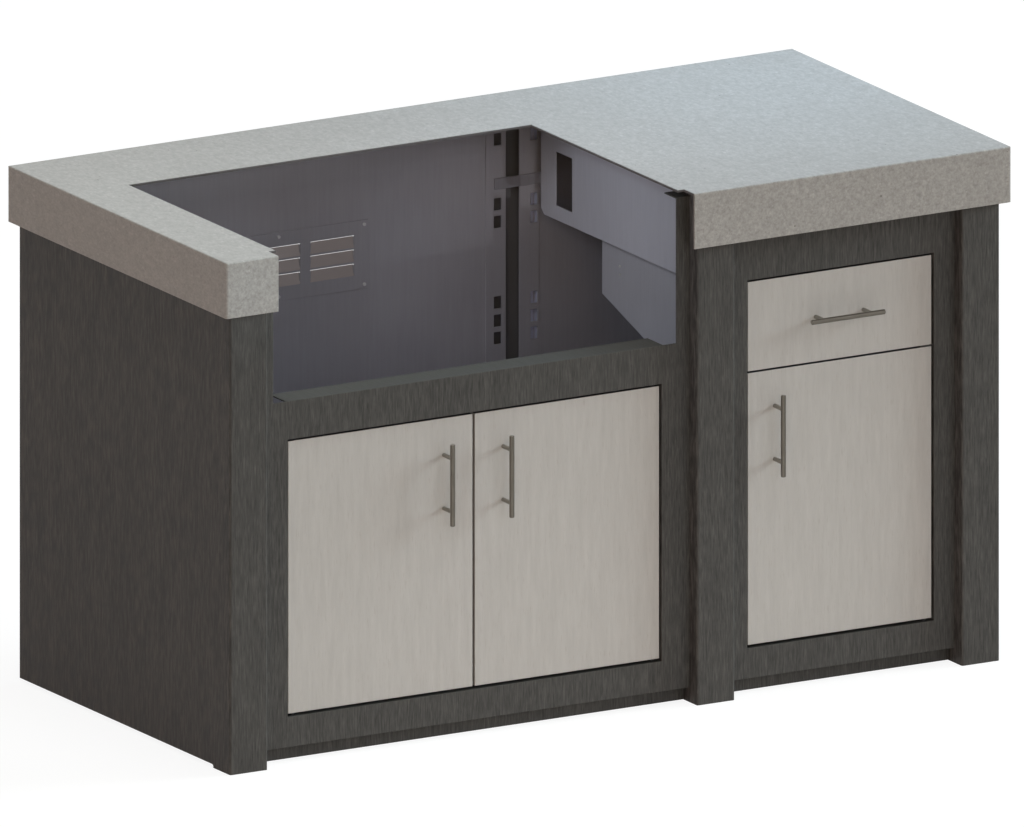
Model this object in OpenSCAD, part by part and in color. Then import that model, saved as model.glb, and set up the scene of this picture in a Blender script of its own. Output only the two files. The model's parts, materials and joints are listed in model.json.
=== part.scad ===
// Outdoor kitchen island cabinet: a sheet-metal carcass under a thin stone counter,
// with a grill bay on the left (open cut-out over a pair of doors) and a storage bay
// on the right (drawer over a door). The front faces -Y, the floor is z = 0 and the
// origin is on the floor under the middle of the counter.

/* [Overall size] */
// Width over the countertop
overall_w = 1577; // [1540:1:1760]
// Depth over the countertop
overall_d = 762; // [720:2:860]
// Height from the floor to the top of the counter
overall_h = 927; // [900:1:980]

/* [Countertop] */
// Thickness of the stone slab and of its drop edge
slab_t = 4; // [4:0.5:9]
// Height of the drop edge
drop_h = 100; // [70:1:130]
// Radius of the eased edges
edge_r = 2.5; // [1.5:0.5:5]
// Radius of the upright corners
corner_r = 4; // [2:0.5:6]
// Overhang of the slab past the side panels
side_overhang = 15.5; // [12:0.5:24]
// Overhang of the slab past the pillars
front_overhang = 14; // [12:0.5:24]
// Overhang of the slab past the back edge of the carcass
back_overhang = 15.5; // [12:0.5:24]

/* [Grill cut-out] */
// Width of the cut-out in the slab
cutout_w = 810; // [760:1:824]
// Depth of the cut-out from the front edge
cutout_d = 546; // [480:1:580]
// Extra width at the front edge, on each side
notch_side = 13; // [6:0.5:16]
// Depth of the wider front part
notch_d = 36; // [24:1:50]
// Thickness of the black trim on the cut edge
trim_t = 1.5; // [1:0.1:3]
// Setback of the trim below the top of the slab
trim_drop = 0.5; // [0.3:0.1:1]

/* [Sheet metal] */
// Sheet thickness of the carcass
sheet_t = 2; // [1.5:0.25:2.5]
// Inner radius of the bends
bend_r = 1.5; // [1:0.25:3]
// Width of the stiffening flanges
flange_w = 25; // [20:1:32]
// Width of each front pillar
pillar_w = 75.5; // [66:0.5:84]
// Depth of the pillars' bent sides
pillar_d = 59; // [55:1:75]
// Height of the side panels' lower edge above the floor
panel_lift = 6; // [4.5:0.5:14]
// Radius in the corner of the foot notch
notch_r = 4; // [2:0.5:4.5]
// Clearance between edges that do not touch
edge_gap = 1; // [0.5:0.1:2]

/* [Bays] */
// Clear width between the left and the middle pillar
grill_bay_w = 863; // [850:1:890]

/* [Front frames] */
// Recess of the frames behind the pillars
frame_recess = 27; // [20:1:30]
// Height of the frames' lower edge above the floor
frame_lift = 27; // [18:1:34]
// Height of the door openings' lower edge
sill_z = 81; // [76:1:100]
// Depth of the returns round the openings
return_d = 45; // [42:1:60]
// Width of the frame beside the pair of doors
grill_stile_w = 55.5; // [48:0.5:80]
// Width of the frame beside the drawer and the storage door
storage_stile_w = 40.5; // [40:0.5:60]
// Height of the frame above the drawer
drawer_rail_h = 179; // [165:1:190]
// Drop of the ledge that carries the grill below the slab
ledge_drop = 273; // [240:1:290]
// Height of the rail between that ledge and the pair of doors
rail_h = 69; // [50:1:100]
// Depth of the ledge
ledge_d = 55; // [40:1:70]
// Relief between each end of the ledge and the upright beside it
ledge_relief = 26; // [10:1:40]
// Drop from the counter top to the caps of the uprights
cap_drop = 15; // [12:1:30]
// Depth of those caps
cap_d = 42; // [30:1:52]
// Recess of the kick plates behind the pillars
kick_recess = 48; // [44:1:54]
// Height of the kick plates
kick_h = 64; // [52:1:68]
// Gap under the kick plates
kick_gap = 0.5; // [0.5:0.5:6]

/* [Doors and drawer] */
// Recess of the door faces behind the frames
door_recess = 4; // [2:0.5:6]
// Thickness of the doors
door_t = 20; // [18:0.5:24]
// Sheet thickness of the doors and the drawer
skin_t = 1.5; // [1:0.1:2]
// Gap between the doors and the sides of their openings
reveal = 3.5; // [3:0.1:5]
// Gap under the doors
sill_reveal = 5; // [3:0.1:7]
// Gap over the pair of doors and over the drawer
top_reveal = 4.5; // [3:0.1:7]
// Gap between the pair of doors
meeting_gap = 5; // [4:0.5:8]
// Height of the opening above the joint between the drawer and the door below it
drawer_opening_h = 167; // [160:1:180]
// Gap at that joint
split_gap = 3.5; // [3.5:0.1:6]
// Gap round the liner inside a door
liner_gap = 0.2; // [0.1:0.05:0.4]

/* [Pivot hinges] */
// Distance of the pivot from the hinge edge of a door
pivot_in = 12; // [11:0.5:14]
// Distance of the pivot behind the face of a door
pivot_back = 8; // [7:0.5:8.5]
// Diameter of the pivot pins
pin_d = 6; // [5:0.5:6.5]
// Diameter of the pins' collars
collar_d = 10; // [9:0.5:10.5]
// Thickness of the collar inside a door
collar_t = 2.5; // [1.5:0.5:4]
// Length of pin inside a door
pin_inner_l = 14; // [8:1:20]
// Radial clearance of the pins in their bushes
pin_clear = 0.05; // [0.02:0.01:0.1]
// Outer diameter of the bushes
bush_d = 10; // [9:0.5:11]
// Radial clearance of seated round pieces
seat_clear = 0.05; // [0.02:0.01:0.1]
// Air under the outer collars
collar_air = 0.2; // [0.1:0.05:0.3]
// Length of the tab that holds the storage door's upper bush
tab_l = 26; // [24:1:34]

/* [Catches] */
// Length of a magnetic catch
catch_l = 40; // [30:1:50]
// Height of a magnetic catch under its seat
catch_h = 12; // [10:0.5:14]
// Thickness of the strike plates
strike_t = 1.2; // [0.8:0.1:2]
// Air between a catch and its strike plate
catch_air = 0.5; // [0.4:0.1:1]
// Distance of the catches from the meeting edges
catch_in = 24; // [15:1:60]
// Drop of the storage door's catch below the drawer
side_catch_drop = 55; // [45:1:120]

/* [Handles] */
// Diameter of the handle bars
bar_d = 9; // [8:0.5:12]
// Length of the handle bars
bar_l = 147; // [125:1:180]
// Chamfer on the bar ends
bar_chamfer = 0.8; // [0.4:0.1:1.5]
// Spacing of the posts
post_pitch = 96; // [64:1:110]
// Diameter of the posts
post_d = 7.5; // [6.5:0.5:8]
// Distance of the bar's axis from the door face
bar_reach = 30; // [24:1:40]
// Drop of the door handles' middle below the top of the pair of doors
handle_drop = 114.5; // [90:0.5:240]
// Distance of the pair's handles from the meeting edges
pair_handle_in = 57; // [35:1:90]
// Distance of the storage door's handle from its free edge
storage_handle_in = 54; // [35:1:90]
// Diameter of the handle screws
screw_d = 4; // [3:0.5:4]
// Depth of the screws in the posts
screw_grip = 10; // [6:1:14]
// Diameter of the screw heads
head_d = 8; // [7:0.5:9]
// Height of the screw heads
head_h = 2.4; // [1.5:0.1:3]

/* [Drawer] */
// Depth of the drawer box
drawer_d = 450; // [360:5:460]
// Height of the drawer box
drawer_h = 115; // [90:1:120]
// Height of the drawer box's underside above the joint under the drawer
drawer_lift = 25; // [15:1:35]
// Length of the runners
runner_l = 450; // [350:5:455]
// Height of the runners' middle above the drawer box's underside
runner_lift = 60; // [50:1:85]
// Width that a runner takes up beside the drawer
runner_w = 12.7; // [12.2:0.1:14]
// Height of the outer runner members
runner_h = 45; // [40:1:52]
// Sheet thickness of the runner members
runner_t = 1.5; // [1.2:0.1:1.6]
// Gap between the lips of nested runner members
runner_gap = 0.5; // [0.4:0.1:1]
// Distance of the runner screws from the runner ends
runner_screw_in = 61; // [20:1:80]
// Vertical spacing of the runner screws
runner_screw_pitch = 15; // [10:1:16]
// Height of the flat heads of the runner screws
flat_head_h = 0.7; // [0.5:0.05:0.8]

/* [Drawer supports] */
// Distance of the support panels from the opening's edge
support_out = 24; // [23:0.5:30]
// Height of the support panels below the slab
support_h = 211; // [195:1:230]
// Gap between the left support panel and the rear post
support_rear_gap = 11.5; // [4:0.5:20]
// Chamfer on its lower rear corner
support_chamfer = 10; // [4:1:20]
// Distance from the rear post to the pass-through hole
hole_rear = 63.5; // [40:0.5:90]
// Depth of the pass-through hole
hole_d = 56; // [30:1:80]
// Height of the pass-through hole
hole_h = 97; // [60:1:110]
// Drop of the hole's upper edge below the slab
hole_drop = 88; // [60:1:90]
// Height of the bracket's tab above the step
bracket_tab_h = 35; // [20:1:50]
// Length of a drawer bracket behind its frame
bracket_l = 496; // [470:1:520]
// Drop of the bracket's lower edge below the runners, at the front
bracket_front_drop = 219; // [160:1:240]
// Drop of the bracket's lower edge below the runners, at the back
bracket_back_drop = 56; // [40:1:100]

/* [Back] */
// Inset of the back panels from the rear edge of the carcass
back_inset = 14.5; // [10:0.5:18]
// Width of the rear corner posts' legs
corner_leg = 40; // [30:1:50]
// Width of the rear middle post
rear_post_w = 107; // [95:1:112]
// Depth of the rear middle post
rear_post_d = 18; // [17:0.5:24]
// Width of the post's lips
rear_post_lip = 40; // [34:0.5:44]
// Offset of that post from the middle pillar's centre
rear_post_shift = 3.5; // [0:0.5:8]
// Width of the slots in the lips
slot_w = 15; // [10:1:18]
// Height of the slots in the lips
slot_h = 22; // [10:1:24]
// Distance of the left slots' middle from the post's left edge
slot_left_in = 23.5; // [12:0.5:30]
// Distance of the right slots' middle from the post's right edge
slot_right_in = 10; // [10:0.5:30]
// Drops of the slots' middles below the slab
slot_drops = [70, 187, 219, 364, 397, 428]; // [40:1:440]
// Drop of the tie between the post and the partition below the slab
tie_drop = 150; // [110:1:160]
// Height of the tie strap
tie_h = 20; // [12:1:28]
// Distance of the tie's end from the post's left edge
tie_in = 16.5; // [1:0.5:30]
// Length of the tie along the support panel
tie_l = 50; // [30:1:54]
// Margin of the rear feet round their posts
foot_margin = 3; // [1:0.5:6]
// Distance of the corner feet from the side panels
foot_in = 14; // [12:0.5:24]

/* [Vent] */
// Offset of the vent's middle from the middle of the grill bay
vent_shift = 2.5; // [-10:0.5:10]
// Drop of the vent's middle below the slab
vent_drop = 241; // [180:1:280]
// Width of the vent cover
vent_w = 360; // [350:1:400]
// Height of the vent cover
vent_h = 124; // [118:1:140]
// Sheet thickness of the vent cover
vent_t = 1.5; // [1:0.1:2]
// Columns of louvres
vent_columns = 3; // [1:1:3]
// Rows of louvres
vent_rows = 3; // [1:1:3]
// Spacing of the columns
vent_pitch_x = 108; // [100:1:110]
// Spacing of the rows
vent_pitch_z = 25.5; // [24:0.5:27]
// Width of a louvre
louvre_w = 88; // [60:1:92]
// Height of a louvre's slot
louvre_h = 22; // [20.5:0.5:23]
// Length of a louvre's flap
flap_l = 20.5; // [12:0.5:21]
// Gap cut round the sides of a flap
flap_kerf = 0.1; // [0.1:0.05:0.3]
// Overlap of a louvre's cheeks on the sheet beside its slot
cheek_lap = 0.8; // [0.5:0.1:1.5]
// Lean of the flaps
flap_angle = 10; // [8:1:30]
// Distance of the vent screws from the cover's edges
vent_screw_in = 8; // [7:0.5:12]
// Diameter of the vent screws' heads
vent_head_d = 6; // [5:0.5:8]

/* [Hidden] */
$fn = 64;
eps = 0.5;

// Carcass planes
body_x = [-overall_w / 2 + side_overhang, overall_w / 2 - side_overhang];
body_y = [-overall_d / 2 + front_overhang, overall_d / 2 - back_overhang];
slab_z = overall_h - slab_t;
inner_x = inset(body_x, sheet_t);
bend_out = bend_r + sheet_t;

// Pillars and bays, from left to right
left_pillar_x = [body_x[0], body_x[0] + pillar_w];
grill_bay_x = [left_pillar_x[1], left_pillar_x[1] + grill_bay_w];
middle_pillar_x = [grill_bay_x[1], grill_bay_x[1] + pillar_w];
storage_bay_x = [middle_pillar_x[1], body_x[1] - pillar_w];
grill_cx = mid(grill_bay_x);
storage_cx = mid(storage_bay_x);
pillar_back_y = body_y[0] + pillar_d;

// Front planes
frame_y = body_y[0] + frame_recess;
frame_in_y = frame_y + sheet_t;
return_back_y = frame_y + return_d;
door_y = frame_y + door_recess;
door_back_y = door_y + door_t;
kick_y = body_y[0] + kick_recess;

// Openings in the frames
grill_opening_x = inset(grill_bay_x, grill_stile_w);
ledge_z = slab_z - ledge_drop;
grill_opening_z = [sill_z, ledge_z - rail_h];
storage_opening_x = inset(storage_bay_x, storage_stile_w);
storage_opening_z = [sill_z, slab_z - drawer_rail_h];
split_z = storage_opening_z[1] - drawer_opening_h;
cutout_x = around(grill_cx, cutout_w);
cutout_y = [-overall_d / 2, -overall_d / 2 + cutout_d];
notch_x = inset(cutout_x, -notch_side);
notch_y = [cutout_y[0], cutout_y[0] + notch_d];

// Doors and drawer front
left_door_x = [grill_opening_x[0] + reveal, grill_cx - meeting_gap / 2];
right_door_x = [grill_cx + meeting_gap / 2, grill_opening_x[1] - reveal];
pair_z = [grill_opening_z[0] + sill_reveal, grill_opening_z[1] - top_reveal];
storage_door_x = inset(storage_opening_x, reveal);
storage_door_z = [sill_z + sill_reveal, split_z - split_gap / 2];
drawer_front_z = [split_z + split_gap / 2, storage_opening_z[1] - top_reveal];
tab_z = around(split_z, sheet_t);

// Pivots: x of each door, then the levels of the seats its pins turn in
pivot_y = door_y + pivot_back;
left_pivot_x = left_door_x[0] + pivot_in;
right_pivot_x = right_door_x[1] - pivot_in;
storage_pivot_x = storage_door_x[1] - pivot_in;
pin_bore_d = pin_d + 2 * pin_clear;
bush_hole_d = bush_d + 2 * seat_clear;

// Handles
handle_z = pair_z[1] - handle_drop;
left_handle_x = left_door_x[1] - pair_handle_in;
right_handle_x = right_door_x[0] + pair_handle_in;
storage_handle_x = storage_door_x[0] + storage_handle_in;
screw_hole_d = screw_d + 4 * seat_clear;
screw_bore_d = screw_d + 2 * seat_clear;

// Catches
left_catch_x = [left_door_x[1] - catch_in - catch_l, left_door_x[1] - catch_in];
right_catch_x = [right_door_x[0] + catch_in, right_door_x[0] + catch_in + catch_l];
side_catch_x = [storage_opening_x[0], storage_opening_x[0] + catch_h];
side_catch_z = split_z - side_catch_drop;
strike_y = [door_back_y, door_back_y + strike_t];
catch_y = [strike_y[1] + catch_air, return_back_y];

// Drawer and its supports, drawn on the left of the storage bay and mirrored
bracket_x = around(storage_opening_x[0] - 1.5 * sheet_t, sheet_t);
runner_x = bracket_x[1];
drawer_x = [runner_x + runner_w, 2 * storage_cx - runner_x - runner_w];
drawer_y = [door_back_y, door_back_y + drawer_d];
drawer_z = split_z + drawer_lift;
runner_z = drawer_z + runner_lift;
runner_y = [return_back_y + edge_gap, return_back_y + edge_gap + runner_l];
middle_h = runner_h - 2 * runner_t - 2 * runner_gap;
inner_h = middle_h - 2 * runner_t - 2 * runner_gap;
middle_u = sheet_t + runner_gap;
support_x = [storage_opening_x[0] - support_out, storage_opening_x[0] - support_out + sheet_t];
support_z = [slab_z - support_h, slab_z];

// Back
back_y = [body_y[1] - back_inset - sheet_t, body_y[1] - back_inset];
rear_post_cx = mid(middle_pillar_x) + rear_post_shift;
rear_post_x = around(rear_post_cx, rear_post_w);
rear_post_y = [body_y[1] - rear_post_d, body_y[1]];
slot_levels = [for (drop = slot_drops) slab_z - drop];
tie_z = slab_z - tie_drop;
support_back_y = rear_post_y[0] - support_rear_gap;
hole_y = [rear_post_y[0] - hole_rear - hole_d, rear_post_y[0] - hole_rear];
hole_z = [slab_z - hole_drop - hole_h, slab_z - hole_drop];
floor_z = [kick_h, kick_h + sheet_t];
floor_joint_x = mid(middle_pillar_x);
vent_cx = grill_cx + vent_shift;
vent_x = around(vent_cx, vent_w);
vent_z = slab_z - vent_drop;
vent_window_w = (vent_columns - 1) * vent_pitch_x + louvre_w + 4 * edge_gap;
vent_window_h = (vent_rows - 1) * vent_pitch_z + louvre_h + 4 * edge_gap;

// Colours
charcoal = "#4a4946";
pale = "#aca69e";
stone = "#b1babb";
black = "#181818";
galvanised = "#6f6e76";
panel_grey = "#525053";
nickel = "#6c665c";
zinc = "#9a9a96";
white_nylon = "#d8d6d0";

// Intervals: shrink at both ends, middle, and one of a given width round a middle
function inset(v, d) = [v[0] + d, v[1] - d];
function mid(v) = (v[0] + v[1]) / 2;
function around(c, w) = [c - w / 2, c + w / 2];

// A block, and a rectangle, given by the intervals they span
module span(x, y, z) {
    translate([x[0], y[0], z[0]])
        cube([x[1] - x[0], y[1] - y[0], z[1] - z[0]]);
}

module rect(x, y) {
    translate([x[0], y[0]])
        square([x[1] - x[0], y[1] - y[0]]);
}

// A rectangle with all four corners rounded
module round_rect(x, y, r) {
    rect(inset(x, r), y);
    rect(x, inset(y, r));
    for (cx = inset(x, r), cy = inset(y, r))
        translate([cx, cy]) circle(r);
}

// Sweep an outline along an axis: (y, z) along X, (x, z) along Y, (x, y) along Z
module along_x(x) {
    translate([x[0], 0, 0])
        rotate([90, 0, 90])
            linear_extrude(x[1] - x[0]) children();
}

module along_y(y) {
    translate([0, y[1], 0])
        rotate([90, 0, 0])
            linear_extrude(y[1] - y[0]) children();
}

module along_z(z) {
    translate([0, 0, z[0]])
        linear_extrude(z[1] - z[0]) children();
}

// Mirror about the middle of the storage bay
module mirrored_in_storage() {
    translate([2 * storage_cx, 0, 0])
        mirror([1, 0, 0]) children();
}

// A vertical round hole or pin
module upright_pin(x, y, z, d) {
    translate([x, y, z[0]])
        cylinder(h = z[1] - z[0], d = d);
}

// Countertop: a thin slab with drop edges, open over the grill bay
module countertop() {
    x = [-overall_w / 2, overall_w / 2];
    y = [-overall_d / 2, overall_d / 2];
    z = [overall_h - drop_h, overall_h];
    long_z = [z[0] - 2 * edge_r, z[1]];
    color(stone)
        difference() {
            intersection() {
                along_z(z) round_rect(x, y, corner_r);
                along_x(x) round_rect(y, long_z, edge_r);
                along_y(y) round_rect(x, long_z, edge_r);
            }
            span(inset(x, slab_t), inset(y, slab_t), [z[0] - eps, slab_z]);
            span(cutout_x, [y[0] - eps, cutout_y[1]], [z[0] - eps, z[1] + eps]);
            span(notch_x, [y[0] - eps, notch_y[1]], [z[0] - eps, z[1] + eps]);
        }
}

// Trim strip on the cut edges of the slab and on the cut ends of its drop edge
module cutout_trim() {
    front_y = cutout_y[0] + edge_r;
    color(black) {
        along_z([slab_z, overall_h - trim_drop])
            difference() {
                union() {
                    rect(cutout_x, [notch_y[1], cutout_y[1]]);
                    rect(notch_x, [front_y, notch_y[1]]);
                }
                rect(inset(cutout_x, trim_t), [front_y - eps, cutout_y[1] - trim_t]);
                rect(inset(notch_x, trim_t), [front_y - eps, notch_y[1] - trim_t]);
            }
        for (x = [[notch_x[0], notch_x[0] + trim_t], [notch_x[1] - trim_t, notch_x[1]]])
            span(x, [front_y, cutout_y[0] + slab_t], [overall_h - drop_h, slab_z + eps]);
    }
}

// Plan of a channel that opens to the back, with rounded front bends
module channel_plan(x, y) {
    difference() {
        union() {
            round_rect(x, [y[0], y[0] + 4 * bend_out], bend_out);
            rect(x, [y[0] + bend_out, y[1]]);
        }
        round_rect(inset(x, sheet_t), [y[0] + sheet_t, y[0] + 4 * bend_out], bend_r);
        rect(inset(x, sheet_t), [y[0] + bend_out, y[1] + eps]);
    }
}

// Outline of the cut that lifts a side panel's lower edge off the floor
module foot_notch() {
    y = [pillar_back_y, body_y[1] + eps];
    rect(y, [-eps, panel_lift - notch_r]);
    rect([y[0] + notch_r, y[1]], [-eps, panel_lift]);
    translate([y[0] + notch_r, panel_lift - notch_r]) circle(notch_r);
}

// Side panel bent into the pillar at the front and into a hem at the back
module side_panel() {
    difference() {
        along_z([0, slab_z]) {
            channel_plan(left_pillar_x, [body_y[0], pillar_back_y]);
            rect([body_x[0], inner_x[0]], [pillar_back_y, body_y[1]]);
            rect([body_x[0], body_x[0] + flange_w], [body_y[1] - sheet_t, body_y[1]]);
        }
        along_x([body_x[0] - eps, body_x[0] + flange_w + eps]) foot_notch();
    }
    span([body_x[0], inner_x[0] + flange_w], [pillar_back_y + edge_gap, back_y[0]],
         [slab_z - sheet_t, slab_z]);
}

module left_side_panel() {
    color(charcoal) side_panel();
}

module right_side_panel() {
    color(charcoal) mirror([1, 0, 0]) side_panel();
}

module middle_pillar() {
    color(charcoal)
        along_z([0, slab_z])
            channel_plan(middle_pillar_x, [body_y[0], pillar_back_y]);
}

// Face of a frame with returns at its sides, at its lower edge and round its opening
module frame_sheet(x, z, opening_x, opening_z) {
    difference() {
        union() {
            span(x, [frame_y, frame_in_y], z);
            span(inset(opening_x, -sheet_t), [frame_y, return_back_y], inset(opening_z, -sheet_t));
            span(x, [frame_y, kick_y], [z[0], z[0] + sheet_t]);
            for (side_x = [[x[0], x[0] + sheet_t], [x[1] - sheet_t, x[1]]])
                span(side_x, [frame_y, kick_y], z);
        }
        span(opening_x, [frame_y - eps, return_back_y + eps], opening_z);
    }
}

// Holes for the bushes, through a horizontal sheet
module bush_hole(x, z) {
    upright_pin(x, pivot_y, inset(z, -eps), bush_hole_d);
}

module grill_front_frame() {
    upright_z = [frame_lift, overall_h - cap_drop];
    window_z = [ledge_z, upright_z[1] + eps];
    ledge_x = inset(cutout_x, ledge_relief);
    color(charcoal)
        difference() {
            union() {
                difference() {
                    frame_sheet(grill_bay_x, upright_z, grill_opening_x, grill_opening_z);
                    span(cutout_x, [frame_y - eps, frame_in_y + eps], window_z);
                }
                span(ledge_x, [frame_y, frame_y + ledge_d], [ledge_z - sheet_t, ledge_z]);
                for (cap_x = [[grill_bay_x[0], cutout_x[0]], [cutout_x[1], grill_bay_x[1]]])
                    span(cap_x, [frame_y, frame_y + cap_d], [upright_z[1] - sheet_t, upright_z[1]]);
            }
            for (x = [left_pivot_x, right_pivot_x]) {
                bush_hole(x, [grill_opening_z[0] - sheet_t, grill_opening_z[0]]);
                bush_hole(x, [grill_opening_z[1], grill_opening_z[1] + sheet_t]);
            }
        }
}

module storage_front_frame() {
    z = [frame_lift, slab_z];
    tab_x = [storage_opening_x[1] - tab_l, storage_opening_x[1]];
    color(charcoal)
        difference() {
            union() {
                frame_sheet(storage_bay_x, z, storage_opening_x, storage_opening_z);
                span(storage_bay_x, [frame_y, frame_y + flange_w], [z[1] - sheet_t, z[1]]);
                span(tab_x, [door_y + edge_gap, return_back_y], tab_z);
            }
            bush_hole(storage_pivot_x, [sill_z - sheet_t, sill_z]);
            bush_hole(storage_pivot_x, tab_z);
        }
}

// Bushes, one in each hole that a door pin turns in
module pivot_bush(x, z) {
    difference() {
        upright_pin(x, pivot_y, z, bush_d);
        upright_pin(x, pivot_y, inset(z, -eps), pin_bore_d);
    }
}

module pivot_bushes() {
    color(white_nylon) {
        for (x = [left_pivot_x, right_pivot_x]) {
            pivot_bush(x, [grill_opening_z[0] - sheet_t, grill_opening_z[0]]);
            pivot_bush(x, [grill_opening_z[1], grill_opening_z[1] + sheet_t]);
        }
        pivot_bush(storage_pivot_x, [sill_z - sheet_t, sill_z]);
        pivot_bush(storage_pivot_x, tab_z);
    }
}

// Kick plate with a top flange for the floor and end flanges on the pillars
module kick_plate(x) {
    z = [kick_gap, kick_h];
    span(x, [kick_y, kick_y + sheet_t], z);
    span(x, [kick_y, kick_y + flange_w], [z[1] - sheet_t, z[1]]);
    for (end_x = [[x[0], x[0] + sheet_t], [x[1] - sheet_t, x[1]]])
        span(end_x, [kick_y, kick_y + flange_w], z);
}

module grill_kick_plate() {
    color(charcoal) kick_plate(grill_bay_x);
}

module storage_kick_plate() {
    color(charcoal) kick_plate(storage_bay_x);
}

// Floor sheet on the kick plates and the back panels, cut clear of pillars and posts
module floor_plan() {
    difference() {
        rect(inner_x, [kick_y, back_y[0]]);
        for (x = [left_pillar_x, middle_pillar_x, [storage_bay_x[1], body_x[1]]])
            rect(inset(x, -edge_gap), [kick_y - eps, pillar_back_y + edge_gap]);
        for (x = [[inner_x[0] - eps, inner_x[0] + corner_leg + edge_gap],
                  [inner_x[1] - corner_leg - edge_gap, inner_x[1] + eps]])
            rect(x, [back_y[0] - corner_leg - edge_gap, back_y[0] + eps]);
        rect(inset(rear_post_x, -edge_gap), [rear_post_y[0] - edge_gap, back_y[0] + eps]);
    }
}

// One bay's part of the floor, turned down where the two parts meet
module floor_panel(x, joint_x) {
    lip_y = [pillar_back_y + edge_gap, rear_post_y[0] - edge_gap];
    intersection() {
        along_z(floor_z) floor_plan();
        span(x, body_y, floor_z);
    }
    span(joint_x, lip_y, [floor_z[0] - flange_w, floor_z[1]]);
}

module grill_floor_panel() {
    color(galvanised)
        floor_panel([inner_x[0], floor_joint_x], [floor_joint_x - sheet_t, floor_joint_x]);
}

module storage_floor_panel() {
    color(galvanised)
        floor_panel([floor_joint_x, inner_x[1]], [floor_joint_x, floor_joint_x + sheet_t]);
}

// Back panel: a sheet with side flanges to the rear, a shelf flange under the floor
// and a top flange under the slab; clear_x gives the room left at each end
module back_panel(x, clear_x) {
    shelf_x = [x[0] + clear_x[0], x[1] - clear_x[1]];
    span(x, back_y, [panel_lift, slab_z]);
    for (side_x = [[x[0], x[0] + sheet_t], [x[1] - sheet_t, x[1]]])
        span(side_x, [back_y[0], body_y[1] - sheet_t], [panel_lift, slab_z]);
    for (z = [kick_h, slab_z])
        span(shelf_x, [back_y[1] - flange_w, back_y[1]], [z - sheet_t, z]);
}

// Six screw places round the vent cover
module at_vent_screws() {
    for (x = [vent_x[0] + vent_screw_in, vent_cx, vent_x[1] - vent_screw_in])
        for (z = around(vent_z, vent_h - 2 * vent_screw_in))
            translate([x, 0, z]) children();
}

// A round pin or hole that runs along Y
module cross_pin(y, d) {
    translate([0, y[1], 0])
        rotate([90, 0, 0])
            cylinder(h = y[1] - y[0], d = d);
}

module grill_back_panel() {
    through_y = inset(back_y, -eps);
    color(panel_grey)
        difference() {
            back_panel([inner_x[0], rear_post_x[0]], [corner_leg + edge_gap, edge_gap]);
            span(around(vent_cx, vent_window_w), through_y, around(vent_z, vent_window_h));
            at_vent_screws() cross_pin(through_y, screw_hole_d);
        }
}

module storage_back_panel() {
    color(panel_grey)
        back_panel([rear_post_x[1], inner_x[1]], [edge_gap, corner_leg + edge_gap]);
}

// Places of the louvres: middle of each slot's lower edge
module at_louvres() {
    for (i = [0 : vent_columns - 1], j = [0 : vent_rows - 1])
        translate([vent_cx + (i - (vent_columns - 1) / 2) * vent_pitch_x, 0,
                   vent_z + (j - (vent_rows - 1) / 2) * vent_pitch_z - louvre_h / 2])
            children();
}

// Louvre: a flap bent out of the sheet below its slot, with a cheek at each end
module louvre() {
    root = -vent_t * tan(flap_angle / 2);
    tip = flap_l * [sin(flap_angle), cos(flap_angle)];
    back = tip + vent_t * [cos(flap_angle), -sin(flap_angle)];
    end = louvre_w / 2;
    along_x(around(0, louvre_w - 2 * flap_kerf))
        polygon([[0, root], [0, 0], tip, back, [vent_t, root]]);
    for (x = [[-end - cheek_lap, vent_t - end], [end - vent_t, end + cheek_lap]])
        along_x(x)
            polygon([[vent_t / 2, -vent_t / 2], [vent_t / 2, tip[1]], tip, back]);
}

// Vent cover: each louvre is a flap cut free at the top and leant out to the rear
module vent_cover() {
    y = [back_y[0] - vent_t, back_y[0]];
    through_y = inset(y, -eps);
    color(panel_grey) {
        difference() {
            span(vent_x, y, around(vent_z, vent_h));
            at_louvres() span(around(0, louvre_w), through_y, [0, louvre_h]);
            at_vent_screws() cross_pin(through_y, screw_hole_d);
        }
        at_louvres()
            translate([0, y[0], 0]) louvre();
    }
}

module vent_screws() {
    y = back_y[0] - vent_t;
    color(zinc)
        at_vent_screws() {
            cross_pin([y - head_h, y], vent_head_d);
            cross_pin([y - eps, back_y[1] + head_h], screw_d);
        }
}

// Angle post in a rear corner, under the top flanges
module corner_post() {
    z = [panel_lift, slab_z - sheet_t];
    span([inner_x[0], inner_x[0] + sheet_t], [back_y[0] - corner_leg, back_y[0]], z);
    span([inner_x[0], inner_x[0] + corner_leg], [back_y[0] - sheet_t, back_y[0]], z);
}

module rear_left_post() {
    color(galvanised) corner_post();
}

module rear_right_post() {
    color(galvanised) mirror([1, 0, 0]) corner_post();
}

// Lipped channel that opens to the front, with two columns of service slots
module rear_middle_post() {
    slot_x = [rear_post_x[0] + slot_left_in, rear_post_x[1] - slot_right_in];
    color(panel_grey)
        difference() {
            span(rear_post_x, rear_post_y, [panel_lift, slab_z]);
            span(inset(rear_post_x, sheet_t), inset(rear_post_y, sheet_t), [0, overall_h]);
            span(inset(rear_post_x, rear_post_lip), [rear_post_y[0] - eps, rear_post_y[1] - sheet_t],
                 [0, overall_h]);
            for (x = slot_x, z = slot_levels)
                span(around(x, slot_w), [rear_post_y[0] - eps, rear_post_y[0] + sheet_t + eps],
                     around(z, slot_h));
        }
}

// Pads under the three rear posts
module rear_feet() {
    corner = corner_leg + foot_margin;
    z = [0, panel_lift];
    color(black) {
        for (side = [0, 1])
            mirror([side, 0, 0])
                span([inner_x[0] + foot_in, inner_x[0] + corner], [back_y[0] - corner, back_y[0]], z);
        span(inset(rear_post_x, foot_margin), inset(rear_post_y, sheet_t / 2), z);
    }
}

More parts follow.
